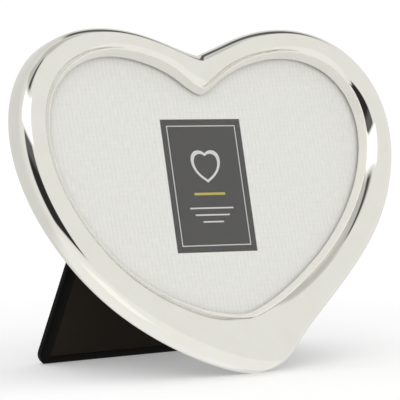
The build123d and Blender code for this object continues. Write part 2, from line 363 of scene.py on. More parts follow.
HEART = HeartOutline()
STANCE = Stance()


class Shop:
    """Modelling steps that several sub-assemblies share."""

    @staticmethod
    def clear_selection() -> None:
        """Leave edit mode and deselect every object."""
        if bpy.context.object and bpy.context.object.mode != "OBJECT":
            bpy.ops.object.mode_set(mode="OBJECT")
        bpy.ops.object.select_all(action="DESELECT")

    @staticmethod
    def start_ring(name: str, points: list[Vector], zone: Zone = Zone.RAW) -> bpy.types.Object:
        """Add a circle and lay its vertices on these points, left in edit mode.

        Args:
            name: name of the piece.
            points: places of the ring's vertices in order.
            zone: finish of the ring.

        Returns:
            The new object, in edit mode with the ring selected.
        """
        Shop.clear_selection()
        radius = HEART.width / 2
        bpy.ops.mesh.primitive_circle_add(vertices=len(points), radius=radius, fill_type="NOTHING")
        piece = bpy.context.object
        piece.name = name
        piece.data.name = name
        bpy.ops.object.mode_set(mode="EDIT")
        work = bmesh.from_edit_mesh(piece.data)
        turn = work.verts.layers.int.new("turn")
        finish = work.verts.layers.float.new("zone")
        work.verts.ensure_lookup_table()
        for index, vertex in enumerate(work.verts):
            vertex[turn] = index
            vertex[finish] = zone.value
            vertex.co = points[index]
        bmesh.update_edit_mesh(piece.data)
        bpy.ops.mesh.select_all(action="SELECT")
        return piece

    @staticmethod
    def extrude_ring(piece: bpy.types.Object, points: list[Vector], zone: Zone = Zone.RAW) -> None:
        """Extrude the selected ring and lay the new one on these points.

        Args:
            piece: object in edit mode with one ring selected.
            points: places of the new ring's vertices in order.
            zone: finish of the new ring.
        """
        bpy.ops.mesh.extrude_region_move()
        work = bmesh.from_edit_mesh(piece.data)
        turn = work.verts.layers.int["turn"]
        finish = work.verts.layers.float["zone"]
        for vertex in work.verts:
            if vertex.select:
                vertex.co = points[vertex[turn]]
                vertex[finish] = zone.value
        bmesh.update_edit_mesh(piece.data)

    @staticmethod
    def close(piece: bpy.types.Object, smooth_angle: float = 30.0) -> None:
        """Merge doubles, turn faces outwards, smooth by angle and leave edit mode.

        Args:
            piece: object in edit mode.
            smooth_angle: edges sharper than this stay sharp, in degrees.
        """
        bpy.ops.mesh.select_all(action="SELECT")
        bpy.ops.mesh.remove_doubles(threshold=MERGE_WITHIN)
        bpy.ops.mesh.normals_make_consistent(inside=False)
        bpy.ops.object.mode_set(mode="OBJECT")
        Shop.smooth(piece, smooth_angle)

    @staticmethod
    def smooth(piece: bpy.types.Object, angle: float = 30.0) -> None:
        """Smooth a piece, and keep edges sharper than an angle in degrees."""
        Shop.only(piece)
        bpy.ops.object.shade_smooth_by_angle(angle=math.radians(angle))

    @staticmethod
    def only(piece: bpy.types.Object) -> None:
        """Select this object alone and make it active.

        Args:
            piece: the object.
        """
        Shop.clear_selection()
        piece.select_set(True)
        bpy.context.view_layer.objects.active = piece

    @staticmethod
    def join(piece: bpy.types.Object, others: list[bpy.types.Object]) -> None:
        """Join others into piece.

        Args:
            piece: object that stays.
            others: objects that end in it.
        """
        Shop.only(piece)
        for other in others:
            other.select_set(True)
        bpy.ops.object.join()

    @staticmethod
    def bevel_edges(piece: bpy.types.Object, width: float, segments: int, angle: float = 30.0) -> None:
        """Round every edge sharper than an angle with an applied modifier.

        Args:
            piece: object to round.
            width: width of the rounding.
            segments: faces across it.
            angle: smallest angle that is rounded, in degrees.
        """
        Shop.only(piece)
        bevel = piece.modifiers.new("edge", "BEVEL")
        bevel.width = width
        bevel.segments = segments
        bevel.limit_method = "ANGLE"
        bevel.angle_limit = math.radians(angle)
        bpy.ops.object.modifier_apply(modifier=bevel.name)

    @staticmethod
    def fit_out(piece: bpy.types.Object, body: Body, slot: Slot, finish: Material, *nodes: str) -> None:
        """Dress a new piece, and let it ride and stand for its CAD nodes.

        Args:
            piece: the finished mesh.
            body: body that it rides on.
            slot: the record's slot for its finish; not used.
            finish: its material.
            nodes: CAD nodes that it stands for.
        """
        piece.data.materials.clear()
        piece.data.materials.append(finish)
        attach(piece, body.value)
        if nodes:
            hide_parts(*nodes)
        log.info("%s: %d faces", piece.name, len(piece.data.polygons))

    @staticmethod
    def dress_node(name: str, finish: Material) -> None:
        """Give a carried-over CAD node its finish.

        Args:
            name: the node's name.
            finish: its material.
        """
        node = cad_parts[name]
        node.data.materials.clear()
        node.data.materials.append(finish)
        log.info("%s: CAD node", name)


class Nodes:
    """Short forms for building a material's node tree."""

    def __init__(self, name: str) -> None:
        """Start a material with one Principled shader.

        Args:
            name: the material's name.
        """
        self.material = bpy.data.materials.new(name)
        self.material.use_nodes = True
        self.tree = self.material.node_tree
        self.shader = self.tree.nodes["Principled BSDF"]
        self.output = self.tree.nodes["Material Output"]

    def add(self, kind: str, **settings: object) -> bpy.types.Node:
        """Add a node and set its properties.

        Args:
            kind: the node's type name.
            settings: property values by name.

        Returns:
            The new node.
        """
        node = self.tree.nodes.new(kind)
        for key, value in settings.items():
            setattr(node, key, value)
        return node

    def link(self, source: Socket, target: Socket) -> None:
        """Link two sockets."""
        self.tree.links.new(source, target)

    def object_coords(self, matrix: Matrix | None = None) -> Socket:
        """Object coordinates, moved into another frame by a matrix of turns and shifts.

        Args:
            matrix: from the shared frame to the wanted frame.

        Returns:
            The coordinates' socket.
        """
        coords = self.add("ShaderNodeTexCoord").outputs["Object"]
        if matrix is None:
            return coords
        mapping = self.add("ShaderNodeMapping", vector_type="POINT")
        mapping.inputs["Location"].default_value = matrix.to_translation()
        mapping.inputs["Rotation"].default_value = matrix.to_euler("XYZ")
        self.link(coords, mapping.inputs["Vector"])
        return mapping.outputs["Vector"]

    def scaled(self, vector: Socket, scale: tuple[float, float, float]) -> Socket:
        """A vector times a scale on each axis.

        Args:
            vector: the vector.
            scale: one factor for each axis.

        Returns:
            The scaled vector.
        """
        node = self.add("ShaderNodeMapping", vector_type="POINT")
        node.inputs["Scale"].default_value = scale
        self.link(vector, node.inputs["Vector"])
        return node.outputs["Vector"]

    def axes(self, vector: Socket) -> tuple[Socket, Socket, Socket]:
        """The three coordinates of a vector.

        Args:
            vector: the vector.

        Returns:
            Its x, y and z.
        """
        split = self.add("ShaderNodeSeparateXYZ")
        self.link(vector, split.inputs[0])
        return split.outputs["X"], split.outputs["Y"], split.outputs["Z"]

    def noise(self, vector: Socket, scale: float, detail: float = 2.0, roughness: float = 0.5) -> Socket:
        """A noise factor.

        Args:
            vector: coordinates in metres.
            scale: noise cells in a metre.
            detail: octaves.
            roughness: weight of the finer octaves.

        Returns:
            The factor's socket.
        """
        node = self.add("ShaderNodeTexNoise")
        node.inputs["Scale"].default_value = scale
        node.inputs["Detail"].default_value = detail
        node.inputs["Roughness"].default_value = roughness
        self.link(vector, node.inputs["Vector"])
        return node.outputs["Fac"]

    def math(
        self,
        operation: str,
        first: Socket | float,
        second: Socket | float = 0.0,
        third: Socket | float | None = None,
    ) -> Socket:
        """A Math node on sockets or numbers.

        Args:
            operation: the node's operation.
            first: first value.
            second: second value.
            third: third value where the operation has one.

        Returns:
            The result's socket.
        """
        node = self.add("ShaderNodeMath", operation=operation)
        for index, value in enumerate((first, second, third)):
            if value is None:
                continue
            if isinstance(value, (int, float)):
                node.inputs[index].default_value = value
            else:
                self.link(value, node.inputs[index])
        return node.outputs[0]

    def remap(
        self,
        value: Socket,
        low: float,
        high: float,
        to_low: float = 0.0,
        to_high: float = 1.0,
        smooth: bool = False,
    ) -> Socket:
        """Map a value from one range to another.

        Args:
            value: the input.
            low: start of the input's range.
            high: end of the input's range.
            to_low: result at low.
            to_high: result at high.
            smooth: ease both ends.

        Returns:
            The result's socket.
        """
        node = self.add("ShaderNodeMapRange", interpolation_type="SMOOTHSTEP" if smooth else "LINEAR")
        node.inputs["From Min"].default_value = low
        node.inputs["From Max"].default_value = high
        node.inputs["To Min"].default_value = to_low
        node.inputs["To Max"].default_value = to_high
        self.link(value, node.inputs["Value"])
        return node.outputs["Result"]

    def spread(self, noise: Socket, low: float, high: float) -> Socket:
        """Map a noise factor so that most of it lies between two values."""
        return self.remap(noise, *NOISE_SPAN, low, high)

    def mix(self, factor: Socket, first: Socket | Colour, second: Socket | Colour) -> Socket:
        """Mix two colours.

        Args:
            factor: 0 for the first, 1 for the second.
            first: a socket or a colour.
            second: a socket or a colour.

        Returns:
            The colour's socket.
        """
        node = self.add("ShaderNodeMix", data_type="RGBA")
        self.link(factor, node.inputs["Factor"])
        for name, value in (("A", first), ("B", second)):
            target = next(s for s in node.inputs if s.name == name and s.type == "RGBA")
            if isinstance(value, tuple):
                target.default_value = (*value, 1.0)
            else:
                self.link(value, target)
        return next(s for s in node.outputs if s.type == "RGBA")

    def bump(self, height: Socket, distance: float, strength: float = 1.0) -> None:
        """Bump the shader by a height.

        Args:
            height: factor from 0 to 1.
            distance: height of a full step, in metres.
            strength: share of the effect.
        """
        node = self.add("ShaderNodeBump")
        node.inputs["Strength"].default_value = strength
        node.inputs["Distance"].default_value = distance
        self.link(height, node.inputs["Height"])
        self.link(node.outputs["Normal"], self.shader.inputs["Normal"])

    def set(self, **values: object) -> None:
        """Set the shader's own sockets, with underscores for the spaces in their names."""
        for key, value in values.items():
            self.shader.inputs[key.replace("_", " ")].default_value = value

    def drive(self, name: str, value: Socket) -> None:
        """Link a value to one of the shader's sockets."""
        self.link(value, self.shader.inputs[name])

    def see_through(self, rays: tuple[str, str], tint: Colour) -> None:
        """Let two kinds of rays pass straight through the surface.

        Args:
            rays: names of their outputs on Light Path.
            tint: colour that they take on.
        """
        path = self.add("ShaderNodeLightPath")
        passing = self.math("MAXIMUM", path.outputs[rays[0]], path.outputs[rays[1]])
        clear = self.add("ShaderNodeBsdfTransparent")
        clear.inputs["Color"].default_value = (*tint, 1.0)
        blend = self.add("ShaderNodeMixShader")
        self.link(passing, blend.inputs[0])
        self.link(self.shader.outputs[0], blend.inputs[1])
        self.link(clear.outputs[0], blend.inputs[2])
        self.link(blend.outputs[0], self.output.inputs["Surface"])


class TentNodes(Nodes):
    """The same short forms on the world's node tree."""

    def __init__(self, world: bpy.types.World) -> None:
        """Work on this world's tree."""
        self.tree = world.node_tree


class Finish:
    """What every finish has in common."""

    def make(self, name: str) -> Material:
        """Start a material, build its nodes and hand it over.

        Args:
            name: the material's name.

        Returns:
            The material.
        """
        nodes = Nodes(name)
        self.lay(nodes)
        return nodes.material

    def lay(self, nodes: Nodes) -> None:
        """Build the finish's own nodes."""
        raise NotImplementedError


@dataclass(frozen=True)
class SilverPlate(Finish):
    """Silver plate: polished outside; satin on the bevel and lip, with a near-white painted reflection of
    the pale card; raw metal behind, whose dark colour under the bevel's foot is also painted shade.
    """

    colour: Colour = (0.80, 0.79, 0.725)
    dull_colour: Colour = (0.78, 0.767, 0.70)
    # Near-white, mostly diffuse colour of the satin zone: a painted reflection of the pale card in the
    # bevel and lip.
    painted_reflection_colour: Colour = (0.99, 0.975, 0.90)
    # Dark raw cast metal, which under the bevel's foot is also painted shade at the card's edge.
    raw_and_shade_colour: Colour = (0.30, 0.285, 0.255)
    raw_shade: float = 0.8
    roughness: float = 0.03
    satin_roughness: float = 0.36
    raw_roughness: float = 0.55
    satin_metallic: float = 0.12
    smear_size: float = 9 * MM
    smear_span: tuple[float, float] = (0.35, 0.75)
    smear_shares: tuple[float, float] = (0.7, 1.5)
    speck_size: float = 0.6 * MM
    speck_share: float = 0.3
    ripple_size: float = 14 * MM
    ripple_depth: float = 0.02 * MM
    ripple_strength: float = 0.5

    def lay(self, nodes: Nodes) -> None:
        """Build the three finishes and blend them by the casting's zones.

        Args:
            nodes: the material.
        """
        place = nodes.object_coords()
        zone = nodes.add("ShaderNodeAttribute", attribute_name="zone").outputs["Fac"]
        plated = nodes.remap(zone, Zone.RAW.value, Zone.SATIN.value)
        polished = nodes.remap(zone, Zone.SATIN.value, Zone.POLISHED.value)
        smears = nodes.noise(place, 1 / self.smear_size, detail=4.0)
        specks = nodes.noise(place, 1 / self.speck_size)
        dull = nodes.remap(smears, *self.smear_span, smooth=True)
        bright = nodes.mix(dull, self.colour, self.dull_colour)
        # Raw metal, which is also painted shade under the bevel's foot.
        cast = nodes.mix(specks, self.raw_and_shade_colour, toned(self.raw_and_shade_colour, self.raw_shade))
        # The satin zone takes the painted reflection colour.
        nodes.drive("Base Color", nodes.mix(plated, cast, nodes.mix(polished, self.painted_reflection_colour, bright)))
        low, high = self.smear_shares
        polish = nodes.spread(smears, self.roughness * low, self.roughness * high)
        grain = nodes.math("MULTIPLY_ADD", specks, self.roughness * self.speck_share, polish)
        rough = self._blend(nodes, polished, self.satin_roughness, grain)
        nodes.drive("Roughness", self._blend(nodes, plated, self.raw_roughness, rough))
        nodes.drive("Metallic", nodes.remap(polished, 0.0, 1.0, self.satin_metallic, 1.0))
        ripples = nodes.noise(place, 1 / self.ripple_size, detail=1.0)
        nodes.bump(ripples, self.ripple_depth, self.ripple_strength)

    @staticmethod
    def _blend(nodes: Nodes, factor: Socket, low: float, high: Socket) -> Socket:
        """Blend from a number to a socket by a factor."""
        return nodes.math("MULTIPLY_ADD", factor, nodes.math("SUBTRACT", high, low), low)


@dataclass(frozen=True)
class ClearGlass(Finish):
    """Clear flat glass that lets the light through to the card behind it."""

    tint: Colour = (0.995, 0.997, 0.993)
    ior: float = 1.5

    def lay(self, nodes: Nodes) -> None:
        """Build the glass, which casts no shadow on the card.

        Args:
            nodes: the material.
        """
        nodes.set(Base_Color=(*self.tint, 1.0), Roughness=0.0, IOR=self.ior, Transmission_Weight=1.0)
        nodes.see_through(("Is Shadow Ray", "Is Diffuse Ray"), self.tint)


@dataclass(frozen=True)
class Panel:
    """Coordinates across and up a printed panel, and masks of plain shapes on it."""

    nodes: Nodes
    x: Socket
    y: Socket

    def bar(self, centre: float, width: float, height: float) -> Socket:
        """Mask of a rectangle centred across the panel.

        Args:
            centre: middle of the rectangle up the panel.
            width: its width.
            height: its height.

        Returns:
            1 inside and 0 outside.
        """
        inside_x = self.nodes.math("COMPARE", self.x, 0.0, width / 2)
        inside_y = self.nodes.math("COMPARE", self.y, centre, height / 2)
        return self.nodes.math("MULTIPLY", inside_x, inside_y)

    def heart(self, centre: float, radius: float) -> Socket:
        """Mask of a small upright heart centred across the panel.

        It lies where the cube of (x * x + y * y - 1) is less than x squared times y cubed.

        Args:
            centre: middle of the heart up the panel.
            radius: half of its width, about.

        Returns:
            1 inside and 0 outside.
        """
        nodes = self.nodes
        across = nodes.math("MULTIPLY", self.x, 1 / radius)
        up = nodes.math("MULTIPLY_ADD", self.y, 1 / radius, -centre / radius)
        square = nodes.math("MULTIPLY", across, across)
        ball = nodes.math("ADD", square, nodes.math("MULTIPLY_ADD", up, up, -1.0))
        cube = nodes.math("MULTIPLY", ball, nodes.math("MULTIPLY", ball, ball))
        lobes = nodes.math("MULTIPLY", square, nodes.math("MULTIPLY", up, nodes.math("MULTIPLY", up, up)))
        return nodes.math("LESS_THAN", cube, lobes)


@dataclass(frozen=True)
class PrintedCard(Finish):
    """Pale woven card with a dark panel in its middle, printed with a border, a heart and bars."""

    card: Colour = (0.92, 0.91, 0.865)
    streak: Colour = (0.83, 0.82, 0.785)
    panel: Colour = (0.023, 0.0205, 0.0185)
    pale_ink: Colour = (0.72, 0.71, 0.69)
    yellow_ink: Colour = (0.55, 0.44, 0.03)
    roughness: float = 0.75
    specular: float = 0.25
    panel_centre: tuple[float, float] = (-2.55 * MM, 71.1 * MM)
    panel_size: tuple[float, float] = (35.0 * MM, 50.6 * MM)
    panel_turn: float = math.radians(-2.15)
    panel_grain: float = 0.5 * MM
    panel_lift: float = 1.2
    border_inset: float = 2.4 * MM
    border_line: float = 0.35 * MM
    heart_centre: float = 6.5 * MM
    heart_radius: float = 5.6 * MM
    heart_core: float = 0.80
    thread_pitch: float = 1.76 * MM
    thread_size: float = 0.42 * MM
    thread_stretch: tuple[float, float] = (0.14, 1.0)
    thread_crest: float = 0.1
    even_share: float = 0.6
    uneven_share: float = 0.8
    level_share: float = 0.27
    weave_span: tuple[float, float] = (0.25, 0.75)
    # Middle up the panel, width and height of each bar.
    yellow_bar: tuple[float, float, float] = (-3.2 * MM, 13.5 * MM, 0.9 * MM)
    pale_bars: tuple[tuple[float, float, float], ...] = (
        (-8.6 * MM, 19.0 * MM, 0.55 * MM),
        (-11.2 * MM, 15.0 * MM, 0.55 * MM),
        (-13.8 * MM, 9.0 * MM, 0.55 * MM),
    )

    def lay(self, nodes: Nodes) -> None:
        """Build the card, the panel on it and the marks on the panel.

        Args:
            nodes: the material.
        """
        heart = nodes.object_coords(STANCE.heart_matrix())
        middle = Matrix.Translation((*self.panel_centre, 0)) @ Matrix.Rotation(self.panel_turn, 4, "Z")
        x, y, _ = nodes.axes(nodes.object_coords(middle.inverted() @ STANCE.heart_matrix()))
        panel = Panel(nodes, x, y)
        grain = nodes.noise(heart, 1 / self.panel_grain)
        ink = nodes.mix(grain, self.panel, toned(self.panel, self.panel_lift))
        colour = nodes.mix(panel.bar(0.0, *self.panel_size), self._paper(nodes, heart), ink)
        colour = nodes.mix(self._pale_marks(panel), colour, self.pale_ink)
        colour = nodes.mix(panel.bar(*self.yellow_bar), colour, self.yellow_ink)
        nodes.drive("Base Color", colour)
        nodes.set(Roughness=self.roughness, Specular_IOR_Level=self.specular)

    def _pale_marks(self, panel: Panel) -> Socket:
        """Mask of the border line, the heart's outline and the short bars.

        Args:
            panel: the panel.

        Returns:
            1 on the marks and 0 elsewhere.
        """
        mask = panel.nodes.math
        outer = [size - 2 * self.border_inset for size in self.panel_size]
        inner = [size - 2 * self.border_line for size in outer]
        border = mask("SUBTRACT", panel.bar(0.0, *outer), panel.bar(0.0, *inner))
        core = panel.heart(self.heart_centre, self.heart_radius * self.heart_core)
        heart = mask("SUBTRACT", panel.heart(self.heart_centre, self.heart_radius), core)
        marks = mask("MAXIMUM", border, heart)
        for bar in self.pale_bars:
            marks = mask("MAXIMUM", marks, panel.bar(*bar))
        return marks

    def _paper(self, nodes: Nodes, heart: Socket) -> Socket:
        """Paper tone with a fine crossed weave, stronger upright than level.

        Args:
            nodes: the material.
            heart: coordinates on the card.

        Returns:
            The colour.
        """
        x, y, _ = nodes.axes(heart)
        long, short = self.thread_stretch
        upright = self._threads(nodes, heart, x, (short, long, 1.0))
        level = self._threads(nodes, heart, y, (long, short, 1.0))
        level = nodes.math("MULTIPLY", level, self.level_share)
        weave = nodes.math("MULTIPLY_ADD", upright, 1 - self.level_share, level)
        return nodes.mix(nodes.remap(weave, *self.weave_span), self.card, self.streak)

    def _threads(
        self, nodes: Nodes, heart: Socket, across: Socket, stretch: tuple[float, float, float]
    ) -> Socket:
        """Threads at an even pitch over uneven ones, each patchy along its length.

        Args:
            nodes: the material.
            heart: coordinates on the card.
            across: the coordinate across the threads.
            stretch: scale on each axis that draws the noise out along the threads.

        Returns:
            The threads' strength.
        """
        wave = nodes.math("SINE", nodes.math("MULTIPLY", across, 2 * math.pi / self.thread_pitch))
        patchy = nodes.noise(heart, 1 / self.thread_pitch, detail=0.0)
        crests = nodes.remap(wave, self.thread_crest, 1.0, 0.0, self.even_share)
        uneven = nodes.noise(nodes.scaled(heart, stretch), 1 / self.thread_size, detail=0.0)
        return nodes.math("MULTIPLY_ADD", uneven, self.uneven_share, nodes.math("MULTIPLY", crests, patchy))


@dataclass(frozen=True)
class Sheetgoods(Finish):
    """Card, board, cloth paper or leathercloth: a tone with grain and a fine bump."""

    colour: Colour
    grain_colour: Colour
    roughness: float
    grain_size: float
    bump: float
    specular: float = 0.3
    cloud_grains: float = 40.0
    cloud_share: float = 0.4
    roughness_spread: float = 0.1

    def lay(self, nodes: Nodes) -> None:
        """Build the tone, its fine grain and the soft clouds in it.

        Args:
            nodes: the material.
        """
        place = nodes.object_coords()
        grain = nodes.noise(place, 1 / self.grain_size, detail=4.0, roughness=0.6)
        cloud = nodes.noise(place, 1 / (self.cloud_grains * self.grain_size))
        fine = nodes.math("MULTIPLY", grain, 1 - self.cloud_share)
        blend = nodes.math("MULTIPLY_ADD", cloud, self.cloud_share, fine)
        nodes.drive("Base Color", nodes.mix(blend, self.colour, self.grain_colour))
        change = self.roughness * self.roughness_spread
        nodes.drive("Roughness", nodes.spread(grain, self.roughness - change, self.roughness + change))
        nodes.set(Specular_IOR_Level=self.specular)
        nodes.bump(grain, self.bump)


@dataclass(frozen=True)
class NickelPlate(Finish):
    """Bright nickel plate on stamped steel, brushed from side to side."""

    colour: Colour = (0.66, 0.64, 0.60)
    brushed_shade: float = 0.85
    roughness: float = 0.24
    roughness_shares: tuple[float, float] = (0.8, 1.3)
    brush_width: float = 0.4 * MM
    brush_stretch: tuple[float, float, float] = (0.08, 1.0, 1.0)
    brush_depth: float = 0.01 * MM
    brush_strength: float = 0.6

    def lay(self, nodes: Nodes) -> None:
        """Build the brushed metal.

        Args:
            nodes: the material.
        """
        place = nodes.scaled(nodes.object_coords(), self.brush_stretch)
        brush = nodes.noise(place, 1 / self.brush_width, detail=3.0)
        nodes.drive("Base Color", nodes.mix(brush, self.colour, toned(self.colour, self.brushed_shade)))
        low, high = self.roughness_shares
        nodes.drive("Roughness", nodes.spread(brush, self.roughness * low, self.roughness * high))
        nodes.set(Metallic=1.0)
        nodes.bump(brush, self.brush_depth, self.brush_strength)


FINISHES: dict[Slot, Finish] = {
    Slot.SILVER: SilverPlate(),
    Slot.GLASS: ClearGlass(),
    Slot.PRINT: PrintedCard(),
    Slot.NICKEL: NickelPlate(),
    Slot.PLAIN_CARD: Sheetgoods(
        colour=(0.55, 0.53, 0.47),
        grain_colour=(0.48, 0.46, 0.41),
        roughness=0.85,
        grain_size=0.6 * MM,
        bump=0.02 * MM,
    ),
    Slot.HARDBOARD: Sheetgoods(
        colour=(0.23, 0.15, 0.09),
        grain_colour=(0.15, 0.10, 0.06),
        roughness=0.7,
        grain_size=0.9 * MM,
        bump=0.03 * MM,
    ),
    Slot.BACK_CLOTH: Sheetgoods(
        colour=(0.018, 0.018, 0.018),
        grain_colour=(0.03, 0.03, 0.03),
        roughness=0.85,
        grain_size=0.35 * MM,
        bump=0.04 * MM,
    ),
    Slot.LEATHERCLOTH: Sheetgoods(
        colour=(0.0022, 0.002, 0.0018),
        grain_colour=(0.004, 0.0036, 0.003),
        roughness=0.5,
        grain_size=0.5 * MM,
        bump=0.012 * MM,
        specular=0.05,
    ),
    Slot.LINING: Sheetgoods(
        colour=(0.021, 0.0165, 0.0115),
        grain_colour=(0.031, 0.025, 0.0175),
        roughness=0.85,
        grain_size=0.4 * MM,
        bump=0.015 * MM,
        specular=0.15,
    ),
}


@dataclass
class FrontFrame:
    """The polished casting: outer wall, domed band, lip, bevel, ledge, hollow back and bosses."""

    wall: float = 5.5 * MM
    crown: float = 12.1 * MM
    reach: float = 6.5 * MM
    reach_share: float = 0.49
    bezel: float = 1.3 * MM
    bowl_steepness: float = 0.68
    bowl_depth: float = 3.9 * MM
    bowl_turn: float = math.radians(45)
    lip_run: float = 1.75 * MM
    lip_flat: float = 0.3 * MM
    lip_rise: float = 0.15 * MM
    # The lip's rounding: shares of its flat, in towards the opening and up from its top.
    # The satin rows carry the near-white painted reflection in place of the lip's own reflections.
    lip_shares: tuple[tuple[float, float, Zone], ...] = (
        (-0.75, 0.22, Zone.POLISHED),
        (-0.4, 0.06, Zone.SATIN),
        (0.0, 0.0, Zone.SATIN),
        (0.3, -0.25, Zone.SATIN),
        (0.5, -0.7, Zone.SATIN),
    )
    # The bevel's foot, rounded under to the glass: out from the opening and up from the glass.
    # The raw rows are dark unpolished metal, which is also painted shade: the dark line at the card's edge.
    bevel_foot: tuple[tuple[float, float, Zone], ...] = (
        (0.105 * MM, 0.70 * MM, Zone.SATIN),
        (0.0, 0.45 * MM, Zone.SATIN),
        (0.10 * MM, 0.36 * MM, Zone.RAW),
        (0.90 * MM, 0.0, Zone.RAW),
    )
    metal: float = 1.4 * MM
    ledge: float = 2.5 * MM
    rib: float = 1.0 * MM
    glass_front: float = 4.8 * MM
    edge: float = 0.25 * MM
    hollow_turn: float = math.radians(40)
    boss_radius: float = 2.3 * MM
    boss_sides: int = 40
    boss_stations: tuple[Station, ...] = (
        LEFT_STATIONS[5],
        LEFT_STATIONS[9],
        RIGHT_STATIONS[9],
        RIGHT_STATIONS[5],
    )
    dome_steps: int = 14
    bowl_steps: int = 14
    edge_steps: int = 3

    def shoulder(self, band: float) -> float:
        """Width of the round outer shoulder where the band has this width."""
        return min(self.reach, self.reach_share * (band - self.bezel))

    def bowl_reach(self, band: float) -> float:
        """Width of the slope from the crown to the lip where the band has this width."""
        return band - self.lip_run - self.lip_flat - self.shoulder(band)

    def lip_top(self, band: float) -> float:
        """Height of the lip where the band has this width."""
        return self.crown - min(self.bowl_steepness * self.bowl_reach(band), self.bowl_depth)

    def section(self) -> list[SectionPoint]:
        """The closed section round the band.

        Returns:
            Its points, from the back of the outer wall over the front to the back of the hollow.
        """
        raw, polished = Zone.RAW, Zone.POLISHED
        middle = self.edge * ROUNDING_SHARE
        roof = self.hollow_height()
        glass = self.glass_front
        return [
            SectionPoint(from_rim(self.edge), 0.0, raw),
            SectionPoint(from_rim(middle), middle, polished),
            SectionPoint(from_rim(0.0), self.edge, polished),
            SectionPoint(from_rim(0.0), self.wall / 2, polished),
            *(self._dome_point(step / self.dome_steps) for step in range(self.dome_steps + 1)),
            *(self._bowl_point(step / self.bowl_steps) for step in range(1, self.bowl_steps + 1)),
            *(self._lip_point(*row) for row in self.lip_shares),
            *(SectionPoint(from_opening(out), glass + up, zone) for out, up, zone in self.bevel_foot),
            SectionPoint(from_opening(self.ledge), glass, raw),
            SectionPoint(from_opening(self.ledge), 0.0, raw),
            SectionPoint(from_opening(self.ledge + self.rib), 0.0, raw),
            SectionPoint(from_opening(self.ledge + self.rib), self.wall, raw),
            SectionPoint(self.hollow_inner(), self.wall, raw),
            SectionPoint(self.hollow_inner(), roof, raw),
            SectionPoint(self.hollow_outer(), roof, raw),
            SectionPoint(self.hollow_outer(), self.wall, raw),
            SectionPoint(from_rim(self.metal), self.wall, raw),
            SectionPoint(from_rim(self.metal), 0.0, raw),
        ]

    def _dome_point(self, share: float) -> SectionPoint:
        """A point of the round shoulder, at a share of its arc from the outer wall.

        Args:
            share: 0 on the outer wall and 1 on the crown.

        Returns:
            The point.
        """
        turn = math.pi / 2 * (1 - share)
        height = self.wall + (self.crown - self.wall) * math.cos(turn)
        return SectionPoint(lambda band: self.shoulder(band) * (1 - math.sin(turn)), height, Zone.POLISHED)

    def _bowl_point(self, share: float) -> SectionPoint:
        """A point of the slope from the crown to the lip, at a share of its arc.

        Args:
            share: 0 on the crown and 1 just above the lip.

        Returns:
            The point.
        """
        turn = self.bowl_turn * share
        run = math.sin(turn) / math.sin(self.bowl_turn)
        fall = (1 - math.cos(turn)) / (1 - math.cos(self.bowl_turn))
        return SectionPoint(
            lambda band: self.shoulder(band) + self.bowl_reach(band) * run,
            lambda band: self.crown - (self.crown - self.lip_top(band) - self.lip_rise) * fall,
            Zone.POLISHED,
        )

    def _lip_point(self, across: float, rise: float, zone: Zone) -> SectionPoint:
        """A point of the lip's rounding.

        Args:
            across: share of the lip's flat towards the opening, from its top.
            rise: share of the flat up from its top.
            zone: its finish.

        Returns:
            The point.
        """
        return SectionPoint(
            lambda band: band - self.lip_run + self.lip_flat * across,
            lambda band: self.lip_top(band) + self.lip_flat * rise,
            zone,
        )

    def hollow_height(self) -> float:
        """Height of the roof of the hollow behind the band."""
        return self.wall + (self.crown - self.metal - self.wall) * math.cos(self.hollow_turn)

    def hollow_inner(self) -> Inset:
        """Inner edge of the hollow's narrow upper step."""
        share = math.sin(self.hollow_turn)
        return lambda band: self.shoulder(band) * (1 - share) + (band - self.bezel - self.metal) * share

    def hollow_outer(self) -> Inset:
        """Outer edge of the hollow's narrow upper step."""
        share = 1 - math.sin(self.hollow_turn)
        return lambda band: self.metal + (self.shoulder(band) - self.metal) * share

    def build(self, finish: Material) -> None:
        """Model the casting ring by ring and dress it.

        Args:
            finish: the silver plate.
        """
        section = self.section()
        piece = Shop.start_ring("front_casting", self._ring(section[0]), section[0].zone)
        for point in section[1:] + section[:1]:
            Shop.extrude_ring(piece, self._ring(point), point.zone)
        Shop.close(piece, smooth_angle=40)
        Shop.join(piece, [self._boss(station) for station in self.boss_stations])
        piece.name = "front_casting"
        Shop.fit_out(piece, Body.FRAME, Slot.SILVER, finish, "front_frame")

    @staticmethod
    def _ring(point: SectionPoint) -> list[Vector]:
        """World points of one ring of the section."""
        places = zip(HEART.ring(point.inset), HEART.bands())
        return [STANCE.on_heart(x, y, point.height_at(band)) for (x, y), band in places]

    def _boss(self, station: Station) -> bpy.types.Object:
        """A screw boss in the hollow, halfway across the band at one station.

        Args:
            station: the row of its place round the rim.

        Returns:
            The boss.
        """
        x, y = HEART.place(station, lambda band: (self.metal + band - self.ledge - self.rib) / 2)
        length = self.hollow_height() + self.metal / 2
        Shop.clear_selection()
        bpy.ops.mesh.primitive_cylinder_add(
            vertices=self.boss_sides,
            radius=self.boss_radius,
            depth=length,
            location=STANCE.on_heart(x, y, length / 2),
            rotation=(math.pi / 2 - STANCE.lean, 0, 0),
        )
        boss = bpy.context.object
        bpy.ops.object.transform_apply(location=True, rotation=True, scale=True)
        Shop.bevel_edges(boss, self.edge, self.edge_steps, angle=60)
        Shop.smooth(boss)
        return boss


